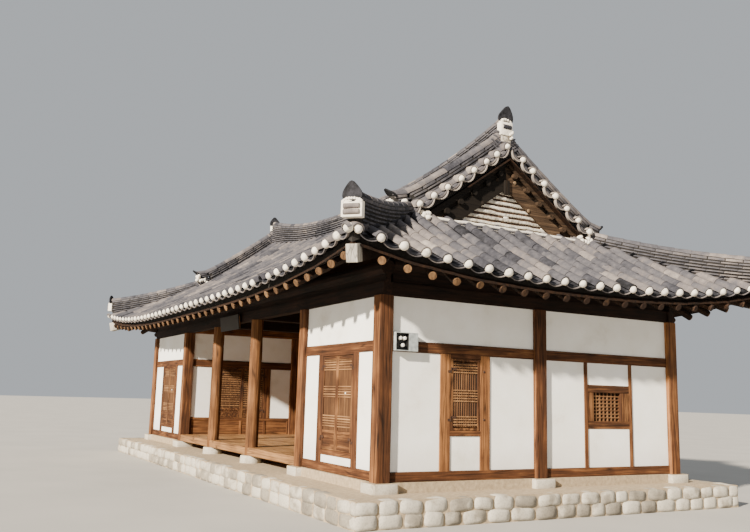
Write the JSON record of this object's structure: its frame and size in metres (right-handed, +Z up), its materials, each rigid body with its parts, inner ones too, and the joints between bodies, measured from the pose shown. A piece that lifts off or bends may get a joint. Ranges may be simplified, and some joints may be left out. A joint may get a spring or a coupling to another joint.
{
  "type": "hanok house",
  "caption": "Single-storey timber hanok house with an open floored hall between two closed rooms, hinged lattice doors and a curved hip-and-gable roof of clay tiles.",
  "frame": {"origin": "on the ground at the middle of the plan, which is also the bottom centre of the bounding box", "axes": "+Z up, +X along the ridge towards the gable end with the small door and the window, -Y out of the open front of the hall"},
  "size_m": [15.1298, 8.3698, 6.83],
  "materials": {
    "stone": "rough dressed granite and rounded field stones, weathered",
    "frame_timber": "weathered brown pine, dry, with checks along the grain",
    "lime_plaster": "white lime plaster, matt, faintly stained",
    "lattice_timber": "thin dark weathered lattice bars over paper",
    "floor_timber": "worn planks, slightly polished by use",
    "rafter_timber": "peeled pine logs, tan, dry",
    "roof_tile": "blue-grey unglazed fired clay, varying from tile to tile",
    "ridge_tile": "dark blue-grey unglazed fired clay in stacked courses",
    "gable_courses": "courses of lime mortar and tile shards",
    "barge_timber": "wide boards, weathered grey-brown",
    "grey_enamel": "light grey enamel, satin, weathered"
  },
  "bodies": {
    "house": {"stone_platform": "stone", "front_west_frame": "frame_timber", "front_west_wall": "lime_plaster", "front_east_frame": "frame_timber", "front_east_wall": "lime_plaster", "east_frame": "frame_timber", "east_wall": "lime_plaster", "east_window": "lattice_timber", "west_frame": "frame_timber", "west_wall": "lime_plaster", "partition_west_frame": "frame_timber", "partition_west_wall": "lime_plaster", "partition_east_frame": "frame_timber", "partition_east_wall": "lime_plaster", "rear_frame": "frame_timber", "rear_wall_west": "lime_plaster", "rear_wall_east": "lime_plaster", "hall_column_west": "frame_timber", "hall_column_east": "frame_timber", "hall_floor": "floor_timber", "front_eave_beam": "frame_timber", "rear_eave_beam": "frame_timber", "east_eave_beam": "frame_timber", "west_eave_beam": "frame_timber", "hall_crossbeam_west": "frame_timber", "hall_crossbeam_east": "frame_timber", "ridge_purlin": "frame_timber", "rafters_front": "rafter_timber", "rafters_rear": "rafter_timber", "rafters_east": "rafter_timber", "rafters_west": "rafter_timber", "roof_tiles_front": "roof_tile", "roof_tiles_rear": "roof_tile", "roof_tiles_east": "roof_tile", "roof_tiles_west": "roof_tile", "main_ridge": "ridge_tile", "corner_ridge_front_east": "ridge_tile", "corner_ridge_front_west": "ridge_tile", "corner_ridge_rear_east": "ridge_tile", "corner_ridge_rear_west": "ridge_tile", "gable_infill_east": "gable_courses", "gable_infill_west": "gable_courses", "barge_boards_east": "barge_timber", "barge_boards_west": "barge_timber", "plaque": "barge_timber", "meter_box": "grey_enamel"},
    "front_west_leaf_left": {"front_west_door_left": "lattice_timber"},
    "front_west_leaf_right": {"front_west_door_right": "lattice_timber"},
    "front_east_leaf_left": {"front_east_door_left": "lattice_timber"},
    "front_east_leaf_right": {"front_east_door_right": "lattice_timber"},
    "east_leaf": {"east_door": "lattice_timber"},
    "partition_leaf_left": {"partition_west_door_left": "lattice_timber"},
    "partition_leaf_right": {"partition_west_door_right": "lattice_timber"}
  },
  "joints": [
    {"name": "front_west_left_hinge", "type": "hinge", "parent": "house", "child": "front_west_leaf_left", "pos_m": [-5.315, -2.958, 1.557], "axis": [0, 0, -1], "range_deg": [0, 110]},
    {"name": "front_west_right_hinge", "type": "hinge", "parent": "house", "child": "front_west_leaf_right", "pos_m": [-4.285, -2.958, 1.557], "axis": [0, 0, 1], "range_deg": [0, 110]},
    {"name": "front_east_left_hinge", "type": "hinge", "parent": "house", "child": "front_east_leaf_left", "pos_m": [4.453, -2.958, 1.557], "axis": [0, 0, -1], "range_deg": [0, 110]},
    {"name": "front_east_right_hinge", "type": "hinge", "parent": "house", "child": "front_east_leaf_right", "pos_m": [5.483, -2.958, 1.557], "axis": [0, 0, 1], "range_deg": [0, 110]},
    {"name": "east_door_hinge", "type": "hinge", "parent": "house", "child": "east_leaf", "pos_m": [6.333, -1.759, 1.733], "axis": [0, 0, -1], "range_deg": [0, 110]},
    {"name": "partition_left_hinge", "type": "hinge", "parent": "house", "child": "partition_leaf_left", "pos_m": [-3.301, -2.085, 1.675], "axis": [0, 0, -1], "range_deg": [0, 110]},
    {"name": "partition_right_hinge", "type": "hinge", "parent": "house", "child": "partition_leaf_right", "pos_m": [-3.301, -0.905, 1.675], "axis": [0, 0, 1], "range_deg": [0, 110]}
  ]
}
